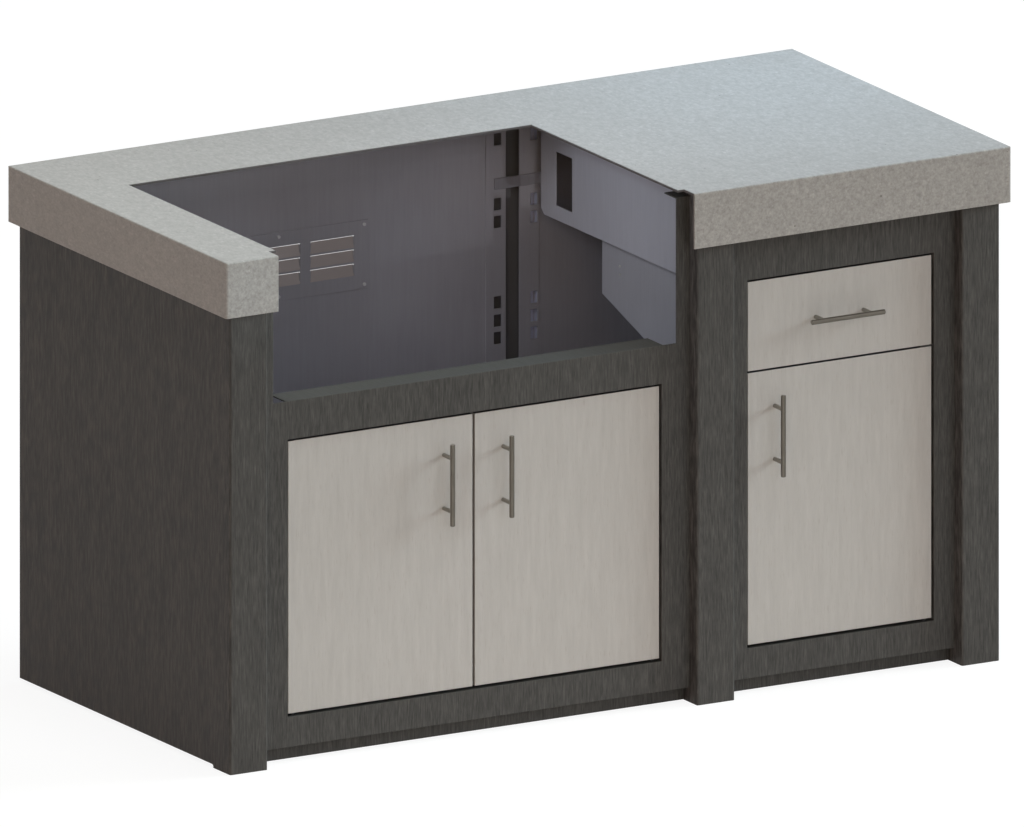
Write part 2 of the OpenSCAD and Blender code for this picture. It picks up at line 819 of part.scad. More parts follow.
// Support panel of the drawer bracket, flanged on the frame and under the slab
module support_panel(back) {
    y = [frame_in_y, back];
    wall_z = [support_z[0], slab_z - sheet_t];
    flange_x = [support_x[0], bracket_x[0] - edge_gap];
    top_y = [y[0] + flange_w, min(back, back_y[1] - flange_w - edge_gap)];
    span(support_x, y, wall_z);
    span(flange_x, [y[0], y[0] + sheet_t], wall_z);
    span(flange_x, top_y, [wall_z[1], slab_z]);
}

module partition_panel() {
    corner = [support_back_y, support_z[0]];
    color(galvanised)
        difference() {
            support_panel(support_back_y);
            span(inset(support_x, -eps), hole_y, hole_z);
            along_x([support_x[0] - eps, bracket_x[0]])
                translate(corner)
                    rotate(45)
                        square(support_chamfer * sqrt(2), center = true);
        }
}

module right_support_panel() {
    z = [support_z[0], slab_z - sheet_t];
    rear_x = [support_x[0], bracket_x[0] - edge_gap];
    color(galvanised)
        mirrored_in_storage() {
            support_panel(back_y[0] - flange_w);
            span(support_x, [back_y[0] - flange_w, back_y[0]], z);
            span(rear_x, [back_y[0] - sheet_t, back_y[0]], z);
        }
}

// Strap that runs across the rear post's lips and turns along the partition
module post_tie_bracket() {
    z = around(tie_z, tie_h);
    y = [rear_post_y[0] - sheet_t, rear_post_y[0]];
    leg_x = [support_x[1], support_x[1] + sheet_t];
    color(panel_grey) {
        span([rear_post_x[0] + tie_in, leg_x[1]], y, z);
        span(leg_x, [rear_post_y[0] - tie_l, y[1]], z);
    }
}

// Drawer bracket: its lower edge slopes down to the front, its top steps out to the support
module drawer_bracket() {
    y = [frame_in_y, frame_in_y + bracket_l];
    tab_y = [y[0] + flange_w, y[1]];
    tab_x = [support_x[1], support_x[1] + sheet_t];
    step_z = [storage_opening_z[1] - sheet_t, storage_opening_z[1]];
    difference() {
        union() {
            along_x(bracket_x)
                polygon([[y[0], runner_z - bracket_front_drop], [y[1], runner_z - bracket_back_drop],
                         [y[1], step_z[1]], [y[0], step_z[1]]]);
            span([tab_x[0], bracket_x[1]], tab_y, step_z);
            span(tab_x, tab_y, [step_z[0], step_z[1] + bracket_tab_h]);
        }
        at_runner_screws() side_pin(inset(bracket_x, -eps), screw_hole_d);
    }
}

// A round pin or hole that runs along X
module side_pin(x, d) {
    translate([x[0], 0, 0])
        rotate([0, 90, 0])
            cylinder(h = x[1] - x[0], d = d);
}

module at_runner_screws() {
    for (y = inset(runner_y, runner_screw_in), z = around(runner_z, runner_screw_pitch))
        translate([0, y, z]) children();
}

module left_drawer_bracket() {
    color(galvanised) drawer_bracket();
}

module right_drawer_bracket() {
    color(galvanised) mirrored_in_storage() drawer_bracket();
}

// One runner member: a web and two lips, from u0 to u1 off the bracket
module runner_member(web_u, u, h) {
    z = around(runner_z, h);
    x = [runner_x + u[0], runner_x + u[1]];
    span([runner_x + web_u[0], runner_x + web_u[1]], runner_y, z);
    for (lip_z = [[z[0], z[0] + runner_t], [z[1] - runner_t, z[1]]])
        span(x, runner_y, lip_z);
}

// The same on both sides of the drawer
module both_sides() {
    children();
    mirrored_in_storage() children();
}

module outer_runners() {
    color(zinc)
        both_sides()
            difference() {
                runner_member([0, runner_t], [0, runner_w - 2 * runner_t], runner_h);
                at_runner_screws()
                    side_pin([runner_x - eps, runner_x + runner_t + eps], screw_hole_d);
            }
}

module middle_runners() {
    color(zinc)
        both_sides()
            runner_member([middle_u, middle_u + runner_t], [middle_u, runner_w - runner_t - runner_gap],
                          middle_h);
}

module inner_runners() {
    color(zinc)
        both_sides()
            runner_member([runner_w - runner_t, runner_w],
                          [middle_u + runner_t + runner_gap, runner_w], inner_h);
}

module runner_screws() {
    head_x = runner_x + runner_t;
    color(zinc)
        both_sides()
            at_runner_screws() {
                side_pin([head_x, head_x + flat_head_h], head_d);
                side_pin([bracket_x[0] - head_h, head_x + eps], screw_d);
            }
}

// Magnetic catches: two under the pair's top return, one on the storage opening's side
module magnetic_catches() {
    top = grill_opening_z[1];
    color(white_nylon) {
        for (x = [left_catch_x, right_catch_x])
            span(x, catch_y, [top - catch_h, top]);
        span(side_catch_x, catch_y, around(side_catch_z, catch_l));
    }
}

// Door skin: a tray of bent sheet with holes for its pins and handle screws
module door_skin(x, z, pivot_x, handle_x) {
    difference() {
        span(x, [door_y, door_back_y], z);
        span(inset(x, skin_t), [door_y + skin_t, door_back_y + eps], inset(z, skin_t));
        upright_pin(pivot_x, pivot_y, inset(z, -eps), pin_d + 2 * seat_clear);
        translate([handle_x, door_y, handle_z]) handle_holes();
    }
}

module door_liner(x, z) {
    gap = skin_t + liner_gap;
    span(inset(x, gap), [door_back_y - skin_t, door_back_y], inset(z, gap));
}

// Pins at both ends of a door; seat_z is the pair of levels that the collars face
module door_pins(x, z, seat_z) {
    door_pin(x, z[0], seat_z[0]);
    translate([0, 0, z[1]])
        mirror([0, 0, 1])
            translate([0, 0, -z[1]])
                door_pin(x, z[1], 2 * z[1] - seat_z[1]);
}

// Lower pin of a door whose underside is at z, over a seat at seat_z
module door_pin(x, z, seat_z) {
    inside = z + skin_t;
    upright_pin(x, pivot_y, [seat_z - sheet_t, inside + pin_inner_l], pin_d);
    upright_pin(x, pivot_y, [inside, inside + collar_t], collar_d);
    upright_pin(x, pivot_y, [seat_z + collar_air, z], collar_d);
}

// Bar handle round its middle on the door face, bar along Z, reaching out to -Y
module handle() {
    r = bar_d / 2;
    half = bar_l / 2;
    difference() {
        union() {
            translate([0, -bar_reach, 0])
                rotate_extrude()
                    polygon([[0, -half], [r - bar_chamfer, -half], [r, -half + bar_chamfer],
                             [r, half - bar_chamfer], [r - bar_chamfer, half], [0, half]]);
            at_posts() cross_pin([-bar_reach, 0], post_d);
        }
        at_posts() cross_pin([-screw_grip, eps], screw_bore_d);
    }
}

module at_posts() {
    for (z = around(0, post_pitch))
        translate([0, 0, z]) children();
}

module handle_holes() {
    at_posts() cross_pin([-eps, skin_t + eps], screw_hole_d);
}

// Screws from inside the skin into the posts
module handle_screws() {
    at_posts() {
        cross_pin([skin_t, skin_t + head_h], head_d);
        cross_pin([-screw_grip + eps, skin_t + eps], screw_d);
    }
}

module left_door_skin() {
    color(pale) door_skin(left_door_x, pair_z, left_pivot_x, left_handle_x);
}

module left_door_liner() {
    color(galvanised) door_liner(left_door_x, pair_z);
}

module left_door_strike() {
    color(zinc) span(left_catch_x, strike_y, strike_z(pair_z));
}

// Level of a strike plate that faces a catch under the top return
function strike_z(z) = [grill_opening_z[1] - catch_h, z[1] - skin_t - liner_gap];

module left_door_pins() {
    color(zinc) door_pins(left_pivot_x, pair_z, grill_opening_z);
}

module left_door_handle() {
    color(nickel) translate([left_handle_x, door_y, handle_z]) handle();
}

module left_door_screws() {
    color(zinc) translate([left_handle_x, door_y, handle_z]) handle_screws();
}

module right_door_skin() {
    color(pale) door_skin(right_door_x, pair_z, right_pivot_x, right_handle_x);
}

module right_door_liner() {
    color(galvanised) door_liner(right_door_x, pair_z);
}

module right_door_strike() {
    color(zinc) span(right_catch_x, strike_y, strike_z(pair_z));
}

module right_door_pins() {
    color(zinc) door_pins(right_pivot_x, pair_z, grill_opening_z);
}

module right_door_handle() {
    color(nickel) translate([right_handle_x, door_y, handle_z]) handle();
}

module right_door_screws() {
    color(zinc) translate([right_handle_x, door_y, handle_z]) handle_screws();
}

module storage_door_skin() {
    color(pale) door_skin(storage_door_x, storage_door_z, storage_pivot_x, storage_handle_x);
}

module storage_door_liner() {
    color(galvanised) door_liner(storage_door_x, storage_door_z);
}

module storage_door_strike() {
    x = [storage_door_x[0] + skin_t + liner_gap, side_catch_x[1]];
    color(zinc) span(x, strike_y, around(side_catch_z, catch_l));
}

module storage_door_pins() {
    color(zinc) door_pins(storage_pivot_x, storage_door_z, [sill_z, tab_z[0]]);
}

module storage_door_handle() {
    color(nickel) translate([storage_handle_x, door_y, handle_z]) handle();
}

module storage_door_screws() {
    color(zinc) translate([storage_handle_x, door_y, handle_z]) handle_screws();
}

// Place of the drawer handle, turned level
module at_drawer_handle() {
    translate([storage_cx, door_y, mid(drawer_front_z)])
        rotate([0, 90, 0]) children();
}

module drawer_front() {
    x = storage_door_x;
    color(pale)
        difference() {
            span(x, [door_y, door_back_y], drawer_front_z);
            span(inset(x, skin_t), [door_y + skin_t, door_back_y + eps], inset(drawer_front_z, skin_t));
            at_drawer_handle() handle_holes();
        }
}

// Open box hung on the inner runners, its front wall on the back of the drawer front
module drawer_box() {
    gap = skin_t + liner_gap;
    color(galvanised) {
        difference() {
            span(drawer_x, drawer_y, [drawer_z, drawer_z + drawer_h]);
            span(inset(drawer_x, skin_t), inset(drawer_y, skin_t), [drawer_z + skin_t, overall_h]);
        }
        span(inset(storage_door_x, gap), [door_back_y - skin_t, door_back_y], inset(drawer_front_z, gap));
    }
}

module drawer_handle() {
    color(nickel) at_drawer_handle() handle();
}

module drawer_screws() {
    color(zinc) at_drawer_handle() handle_screws();
}

countertop();
cutout_trim();
left_side_panel();
right_side_panel();
middle_pillar();
grill_front_frame();
storage_front_frame();
grill_kick_plate();
storage_kick_plate();
grill_floor_panel();
storage_floor_panel();
grill_back_panel();
storage_back_panel();
vent_cover();
vent_screws();
rear_left_post();
rear_right_post();
rear_middle_post();
rear_feet();
partition_panel();
right_support_panel();
post_tie_bracket();
left_drawer_bracket();
right_drawer_bracket();
outer_runners();
runner_screws();
middle_runners();
inner_runners();
pivot_bushes();
magnetic_catches();
left_door_skin();
left_door_liner();
left_door_strike();
left_door_pins();
left_door_handle();
left_door_screws();
right_door_skin();
right_door_liner();
right_door_strike();
right_door_pins();
right_door_handle();
right_door_screws();
storage_door_skin();
storage_door_liner();
storage_door_strike();
storage_door_pins();
storage_door_handle();
storage_door_screws();
drawer_front();
drawer_box();
drawer_handle();
drawer_screws();
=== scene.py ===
import json
import math

import bpy
from mathutils import Matrix, Vector


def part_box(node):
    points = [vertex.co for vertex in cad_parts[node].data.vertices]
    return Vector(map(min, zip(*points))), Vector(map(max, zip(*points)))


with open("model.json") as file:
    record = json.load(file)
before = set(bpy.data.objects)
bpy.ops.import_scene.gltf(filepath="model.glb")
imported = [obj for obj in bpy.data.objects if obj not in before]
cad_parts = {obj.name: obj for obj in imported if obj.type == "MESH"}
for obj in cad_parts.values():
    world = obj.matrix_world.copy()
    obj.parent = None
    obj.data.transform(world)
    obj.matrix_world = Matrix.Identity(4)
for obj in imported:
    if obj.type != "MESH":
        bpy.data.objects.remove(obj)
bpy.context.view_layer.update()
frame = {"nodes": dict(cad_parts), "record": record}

# Looks of the outdoor kitchen island cabinet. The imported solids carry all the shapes;
# this script gives each of them its finish, and adds the floor, the light and the camera.
# Units are metres, the front faces -Y and the floor is z = 0.

# Camera: a parallel view of the front and the left side
CAMERA_AZIMUTH = -30.0
CAMERA_ELEVATION = 15.0
CAMERA_DISTANCE = 4.0
CAMERA_REACH = 100.0
VIEW_WIDTH = 1.7818
VIEW_SHIFT_RIGHT = 0.0044
VIEW_CENTRE_Z = 0.4633

# Distant lamps: name, azimuth and elevation they shine from, angular size, strength, colour
SUNS = [
    ("top_light", 0.0, 88.0, 30.0, 1.1, (0.98, 0.96, 0.89)),
    ("front_light", 5.0, 24.0, 50.0, 0.47, (0.81, 0.89, 1.0)),
    ("head_light", -30.0, 16.0, 36.0, 0.3, (1.0, 0.68, 0.38)),
    ("right_light", 72.0, 20.0, 32.0, 0.75, (1.0, 0.88, 0.77)),
    ("rim_light", 79.0, 20.0, 26.0, 2.38, (0.72, 0.91, 1.0)),
    ("left_light", -85.0, 3.0, 6.0, 0.1, (1.0, 0.12, 0.15)),
]
# Low lamps that would turn the stone white in a grazing view, so they make no highlights
MATT_LAMPS = ("rim_light", "right_light")
# Soft panel lamps: name, place, point they aim at, width and height, spread, power, colour
PANELS = [
    ("inside_light", (-0.7, -0.32, 1.31), (0.26, 0.05, 0.72), (0.35, 0.35), 60.0, 0.45, (0.84, 0.9, 1.0)),
    ("corner_light", (0.8, 0.35, 1.9), (0.65, 0.2, 0.93), (0.8, 0.8), 120.0, 3.8, (0.4, 0.68, 0.97)),
    ("arm_light", (-0.74, -0.15, 1.75), (-0.74, -0.1, 0.93), (0.25, 1.1), 100.0, 0.75, (0.84, 0.96, 1.0)),
    ("end_light", (-0.76, -1.2, 1.15), (-0.74, -0.38, 0.88), (0.15, 0.15), 20.0, 0.02, (0.6, 0.85, 1.0)),
    ("low_light", (0.0, -0.98, 0.03), (0.0, -0.37, 0.1), (1.9, 0.05), 180.0, 0.55, (0.95, 0.98, 1.0)),
]

# Surround and floor: the floor has one colour for the light it throws back and a dark one where it
# is seen, where a glow brings it up to white
WHITE = (1.0, 1.0, 1.0, 1.0)
FLOOR_HALF = 30.0
FLOOR_Z = -0.0005
FLOOR_COLOUR = (0.77, 0.68, 0.62)
FLOOR_GLOW = 0.89
FLOOR_SHADE_ALBEDO = 0.18

# Nodes whose finish differs from the others of their material slot
OWN_FINISH = {
    "drawer_handle": "level_nickel",
    "cutout_trim": "grey_rubber",
    "rear_middle_post": "post_sheet_painted_inside",
    # The tie and the drawer bracket get darker copies of their sheet as painted shade
    "post_tie_bracket": "tie_sheet_painted_shade",
    "left_drawer_bracket": "bracket_sheet_painted_shade",
    "vent_cover": "vent_sheet",
    # The vent screws get a lighter copy of zinc as painted light
    "vent_screws": "zinc_painted_light",
    # Pins and pivot bushes are near-black as painted shade of the gaps they sit in
    "left_door_pins": "steel_painted_shade",
    "right_door_pins": "steel_painted_shade",
    "storage_door_pins": "steel_painted_shade",
    "pivot_bushes": "nylon_painted_shade",
}

# Where on a noise's 0 to 1 scale the dark, middle and light tones lie, and the part of that scale
# which a range of roughness is spread over
TONE_PLACES = (0.3, 0.5, 0.7)
NOISE_SPAN = (0.3, 0.7)

# A face looks along an axis where its normal's component along it is larger than this
LOOKS_ALONG = 0.7

# Edge rounding that the shading shows on sharp edges, by kind of surface, and the cosines between
# rounded and flat normal at which the tone painted on an edge as a highlight begins and is full
SHEET_EDGE = 0.0016
STONE_EDGE = 0.0015
SATIN_EDGE = 0.001
SMALL_EDGE = 0.0006
EDGE_SAMPLES = 6
EDGE_HIGHLIGHT_COSINES = (0.97, 0.8)

# Stone: its speckle is drawn out along Y by the inverse of the middle value; then the places of
# its tones on the noise's scale
STONE_STRETCH = (1.0, 0.6, 1.0)
STONE_PLACES = (0.32, 0.5, 0.68)

# Wood grain: cells per metre of the broad streaks and of the pores, the pores' width over their
# length, and the span of their noise over which a pore deepens
BROAD_CELLS = 90.0
PORE_CELLS = 560.0
PORE_SLENDER = 0.09
PORE_SPAN = (0.60, 0.72)
# Shares of the pores' tone, and of the level tone on level faces
PORE_SHARE = 0.45
LEVEL_SHARE = 0.75
# Wood grain on faces that look left or right: its cells along Y for one along X on the front, how
# much bolder it is, its mean on the 0 to 1 scale, set lower as painted shade of the sides, and the
# mean on all other faces
SIDE_CELLS = 0.57
SIDE_BOLDNESS = 1.7
SIDE_SHADE_MEAN = 0.475
MEAN_TONE = 0.5

# Sheets: ranges of roughness of the back sheets and of the supports, and how metallic all are
BACK_ROUGHNESS = (0.30, 0.42)
SUPPORT_ROUGHNESS = (0.34, 0.48)
SHEET_METALLIC = 0.1
# Clear lacquer on the faces of the back sheets that look to the front, which mirrors about a
# seventh of the light, the heights between which it fades out, and the largest part along Y of the
# normals of such faces
LACQUER = {"Coat Roughness": 0.04, "Coat IOR": 2.2}
LACQUER_FADE = (0.82, 0.86)
LACQUER_FACING = -0.995
# Depth behind which the inside of the rear middle post is painted dark as shade, and the place
# along X beyond which its right wall is painted bright as light
SHADE_DEPTH_Y = 0.352
LIT_WALL_X = 0.25
# How far below the vent cover's top its louvres begin at the least, and the least parts along Z of
# the normals of its sloping faces, and of its lips and rim
VENT_MARGIN = 0.01
SLOPING_Z = 0.1
LEVEL_Z = 0.35

# Handles: the parts of the normal along Y over which the painted reflection on the posts gives way
# to the bar's tone, roughness, brush lines per metre, and how the lines stretch on upright and on
# level pieces
POST_SPAN = (0.1, 0.35)
NICKEL_ROUGHNESS = (0.28, 0.42)
NICKEL_BRUSH = 1400.0
UPRIGHT_BRUSH = (1.0, 1.0, 0.03)
LEVEL_BRUSH = (0.03, 1.0, 1.0)
# Plated pieces: the faint brush lines run along Y
PLATED_BRUSH = (1.0, 0.08, 1.0)
# Rubber: range of roughness
RUBBER_ROUGHNESS = (0.6, 0.75)


def srgb(red, green, blue):
    """Linear colour from 8-bit sRGB values, with alpha."""
    def linear(v):
        c = v / 255.0
        return c / 12.92 if c <= 0.04045 else ((c + 0.055) / 1.055) ** 2.4
    return (linear(red), linear(green), linear(blue), 1.0)


class Finish:
    """A material with a Principled shader and short calls for the nodes that feed it."""

    def __init__(self, name):
        self.material = bpy.data.materials.new(name)
        self.material.use_nodes = True
        self.tree = self.material.node_tree
        self.shader = self.tree.nodes["Principled BSDF"]
        self.coords = self.node("ShaderNodeTexCoord")

    def node(self, kind, settings=None, inputs=None):
        made = self.tree.nodes.new(kind)
        for key, value in (settings or {}).items():
            setattr(made, key, value)
        for key, value in (inputs or {}).items():
            self.feed(made.inputs[key], value)
        return made

    def feed(self, socket, value):
        """Links a node's output to a socket, or sets the socket to a plain value."""
        if isinstance(value, bpy.types.NodeSocket):
            self.tree.links.new(value, socket)
        else:
            socket.default_value = value

    def place(self, axis):
        """Coordinate of the shaded point along X, Y or Z."""
        parts = self.node("ShaderNodeSeparateXYZ", inputs={0: self.coords.outputs["Object"]})
        return parts.outputs[axis]

    def facing(self, axis):
        """Component of the face's normal along X, Y or Z."""
        parts = self.node("ShaderNodeSeparateXYZ", inputs={0: self.coords.outputs["Normal"]})
        return parts.outputs[axis]

    def stretched(self, scale):
        made = self.node("ShaderNodeMapping", inputs={
            "Vector": self.coords.outputs["Object"], "Scale": scale})
        return made.outputs["Vector"]

    def noise(self, vector, scale, detail, roughness):
        made = self.node("ShaderNodeTexNoise", inputs={
            "Vector": vector, "Scale": scale, "Detail": detail, "Roughness": roughness})
        return made.outputs["Fac"]

    def cells(self, vector, scale):
        made = self.node("ShaderNodeTexVoronoi", inputs={"Vector": vector, "Scale": scale})
        return made.outputs["Distance"], made.outputs["Color"]

    def math(self, operation, a, b=0.0):
        made = self.node("ShaderNodeMath", {"operation": operation}, {0: a, 1: b})
        return made.outputs[0]

    def blend(self, a, b, share):
        """Sum of two values, of which the second has this share."""
        return self.math("ADD", self.math("MULTIPLY", a, 1.0 - share), self.math("MULTIPLY", b, share))

    def ranged(self, value, from_range, to_range):
        made = self.node("ShaderNodeMapRange", inputs={
            "Value": value, "From Min": from_range[0], "From Max": from_range[1],
            "To Min": to_range[0], "To Max": to_range[1]})
        return made.outputs["Result"]

    def ramp(self, value, tones, places=TONE_PLACES):
        """Colour that goes through the tones as the value passes their places."""
        made = self.node("ShaderNodeValToRGB", inputs={"Fac": value})
        elements = made.color_ramp.elements
        while len(elements) < len(places):
            elements.new(1.0)
        for element, position, colour in zip(elements, places, tones):
            element.position = position
            element.color = colour
        return made.outputs["Color"]

    def mix(self, factor, a, b):
        made = self.node("ShaderNodeMix", {"data_type": "RGBA"})
        self.feed(made.inputs[0], factor)
        self.feed(made.inputs[6], a)
        self.feed(made.inputs[7], b)
        return made.outputs[2]

    def tint(self, base, mask, share, tone):
        """The base with a share of a tone where the mask is 1."""
        return self.mix(self.math("MULTIPLY", mask, share), base, tone)

    def mix_vectors(self, factor, a, b):
        made = self.node("ShaderNodeMix", {"data_type": "VECTOR"})
        self.feed(made.inputs[0], factor)
        self.feed(made.inputs[4], a)
        self.feed(made.inputs[5], b)
        return made.outputs[1]

    def flecks(self, pick, distance, rarity, radius):
        """1 within a radius of the centres of the cells that are picked, else 0."""
        picked = self.math("GREATER_THAN", pick, rarity)
        return self.math("MULTIPLY", picked, self.math("LESS_THAN", distance, radius))

    def soft_normal(self, radius):
        made = self.node("ShaderNodeBevel", {"samples": EDGE_SAMPLES}, {"Radius": radius})
        return made.outputs["Normal"]

    def edge_mask(self, normal):
        """0 on flat faces, rising to 1 within the rounding of an edge."""
        geometry = self.node("ShaderNodeNewGeometry")
        dot = self.node("ShaderNodeVectorMath", {"operation": "DOT_PRODUCT"},
                        {0: normal, 1: geometry.outputs["Normal"]})
        return self.ranged(dot.outputs["Value"], EDGE_HIGHLIGHT_COSINES, (0.0, 1.0))

    def either_way(self, axis):
        """1 on faces that look along an axis, to either side, else 0."""
        return self.math("GREATER_THAN", self.math("ABSOLUTE", self.facing(axis)), LOOKS_ALONG)

    def outward(self):
        """1 on faces that look to the front or to the left, else 0."""
        least = self.math("MINIMUM", self.facing("X"), self.facing("Y"))
        return self.math("LESS_THAN", least, -LOOKS_ALONG)

    def bump(self, height, strength, distance, normal):
        made = self.node("ShaderNodeBump", inputs={
            "Height": height, "Strength": strength, "Distance": distance, "Normal": normal})
        return made.outputs["Normal"]

    def surface(self, colour, roughness, normal, constants=None):
        """Feeds the shader, sets its other sockets to the constants and returns the material."""
        self.feed(self.shader.inputs["Base Color"], colour)
        self.feed(self.shader.inputs["Roughness"], roughness)
        self.feed(self.shader.inputs["Normal"], normal)
        for key, value in (constants or {}).items():
            self.shader.inputs[key].default_value = value
        return self.material


def stone_finish():
    """Honed engineered stone: fine pale speckle with a few dark and light flecks."""
    f = Finish("stone_speckle")
    here = f.stretched(STONE_STRETCH)
    fine = f.noise(here, scale=265.0, detail=3.0, roughness=0.65)
    mottle = f.noise(here, scale=130.0, detail=2.0, roughness=0.5)
    cloud = f.noise(here, scale=9.0, detail=3.0, roughness=0.5)
    distance, colour = f.cells(here, scale=150.0)
    pick = f.node("ShaderNodeSeparateColor", inputs={0: colour})
    dark = f.flecks(pick.outputs["Red"], distance, rarity=0.995, radius=0.24)
    pale = f.flecks(pick.outputs["Green"], distance, rarity=0.93, radius=0.34)
    tones = (srgb(147, 144, 140), srgb(166, 163, 159), srgb(184, 181, 177))
    base = f.ramp(f.blend(fine, mottle, share=0.38), tones, STONE_PLACES)
    base = f.mix(f.ranged(cloud, NOISE_SPAN, (0.0, 0.12)), base, srgb(140, 136, 130))
    base = f.tint(base, pale, share=0.22, tone=srgb(214, 212, 208))
    base = f.tint(base, dark, share=0.7, tone=srgb(84, 78, 72))
    normal = f.soft_normal(STONE_EDGE)
    # Painted highlight along the rounded edges
    base = f.tint(base, f.edge_mask(normal), share=0.25, tone=srgb(205, 203, 198))
    rough = f.ranged(fine, NOISE_SPAN, (0.34, 0.46))
    bumped = f.bump(fine, strength=0.08, distance=0.0006, normal=normal)
    return f.surface(base, rough, bumped, {"Specular IOR Level": 0.3})


def grain_finish(name, tones, grain, roughness, pore_depth, pore_tone, specular,
                 level_tone=None, painted_gap_shade=None):
    """Powder-coated sheet with a fine wood grain: along Z on upright faces, along Y on level ones.

    Tones are dark, middle and light, and a lighter tone painted on rounded edges as a highlight.
    Grain is its cells per metre, the share of broad streaks, and its width over its length. It is
    bolder on the sides, where it is also darker as painted shade. With a level tone it is faint on
    level faces, which have that tone. With a painted gap shade it is on the front and left faces
    alone, and the others, mostly the edges of doors in their gaps, have that dark tone as painted
    shade.
    """
    f = Finish(name)
    level = f.either_way("Z")
    side = f.either_way("X")

    def along(slender):
        """Coordinates that draw the grain out along its run."""
        upright = f.stretched((1.0, SIDE_CELLS, slender))
        return f.mix_vectors(level, upright, f.stretched((1.0, slender, 1.0)))

    cells, broad_share, slender = grain
    long_grain = along(slender)
    fine = f.noise(long_grain, cells, detail=3.0, roughness=0.65)
    broad = f.noise(long_grain, BROAD_CELLS, detail=3.0, roughness=0.55)
    pores = f.noise(along(PORE_SLENDER), PORE_CELLS, detail=2.0, roughness=0.5)
    streak = f.math("SUBTRACT", f.blend(fine, broad, broad_share), MEAN_TONE)
    streak = f.math("MULTIPLY", streak, f.ranged(side, (0.0, 1.0), (1.0, SIDE_BOLDNESS)))
    # Lower mean tone on the sides: painted shade
    streak = f.math("ADD", streak, f.ranged(side, (0.0, 1.0), (MEAN_TONE, SIDE_SHADE_MEAN)))
    pore = f.ranged(pores, PORE_SPAN, (0.0, 1.0))
    base = f.tint(f.ramp(streak, tones), pore, PORE_SHARE, pore_tone)
    if level_tone:
        base = f.tint(base, level, LEVEL_SHARE, level_tone)
    # Faces that look neither to the front nor to the left get the dark tone as painted shade
    if painted_gap_shade:
        base = f.mix(f.outward(), painted_gap_shade, base)
    normal = f.soft_normal(SHEET_EDGE)
    # Painted highlight along rounded edges
    base = f.tint(base, f.edge_mask(normal), share=0.35, tone=tones[3])
    rough = f.ranged(fine, NOISE_SPAN, roughness)
    bumped = f.bump(f.math("SUBTRACT", fine, pore), strength=0.25, distance=pore_depth, normal=normal)
    return f.surface(base, rough, bumped, {"Specular IOR Level": specular})


def painted_post_inside(f, base):
    """Inside the rear middle post, behind a depth along Y: dark as painted shade, with the right wall
    past a place along X bright as painted light.
    """
    behind = f.math("GREATER_THAN", f.place("Y"), SHADE_DEPTH_Y)
    wall = f.math("GREATER_THAN", f.place("X"), LIT_WALL_X)
    return f.mix(behind, base, f.mix(wall, srgb(108, 107, 107), srgb(206, 212, 236)))


def louvre_painted_light(f, base):
    """Paints a highlight on the lips of the louvres, warms their slopes and darkens the cover's level rim
    as painted shade.
    """
    louvre = f.math("LESS_THAN", f.place("Z"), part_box("vent_cover")[1][2] - VENT_MARGIN)
    rising = f.math("GREATER_THAN", f.math("ABSOLUTE", f.facing("Z")), SLOPING_Z)
    level = f.math("GREATER_THAN", f.facing("Z"), LEVEL_Z)
    lip = f.math("MULTIPLY", level, louvre)
    # Level faces outside the louvres, such as the cover's top rim, darkened as painted shade
    base = f.mix(f.math("SUBTRACT", level, lip), base, srgb(72, 71, 74))
    base = f.mix(f.math("MULTIPLY", rising, louvre), base, srgb(163, 153, 150))
    # Lips of the louvres: painted highlight
    return f.mix(lip, base, srgb(250, 250, 252))


def lacquered(f):
    """1 on faces that look to the front, fading out over LACQUER_FADE, and 0 elsewhere."""
    front = f.math("LESS_THAN", f.facing("Y"), LACQUER_FACING)
    return f.math("MULTIPLY", front, f.ranged(f.place("Z"), LACQUER_FADE, (1.0, 0.0)))


def sheet_finish(name, tones, roughness, recolour=None, lacquer=None):
    """Satin sheet with faint rolling marks and a cloudy tone, which recolour may change in places.

    Tones are dark, middle and light, and a tone painted on rounded edges: a painted highlight where
    it is lighter, and painted shade that damps their sheen where it is darker, as on the back
    sheets. A lacquer is a clear coat, given by its roughness and refraction.
    """
    f = Finish(name)
    rolled = f.noise(f.stretched((1.0, 1.0, 0.05)), scale=210.0, detail=3.0, roughness=0.6)
    cloud = f.noise(f.coords.outputs["Object"], scale=5.0, detail=3.0, roughness=0.5)
    base = f.ramp(f.blend(rolled, cloud, share=0.6), tones)
    if recolour:
        base = recolour(f, base)
    normal = f.soft_normal(SATIN_EDGE)
    # Tone painted along rounded edges: highlight, or shade on the back sheets
    base = f.tint(base, f.edge_mask(normal), share=0.4, tone=tones[3])
    if lacquer:
        f.feed(f.shader.inputs["Coat Weight"], lacquered(f))
    rough = f.ranged(cloud, NOISE_SPAN, roughness)
    bumped = f.bump(rolled, strength=0.06, distance=0.0003, normal=normal)
    return f.surface(base, rough, bumped, {"Metallic": SHEET_METALLIC, **(lacquer or {})})


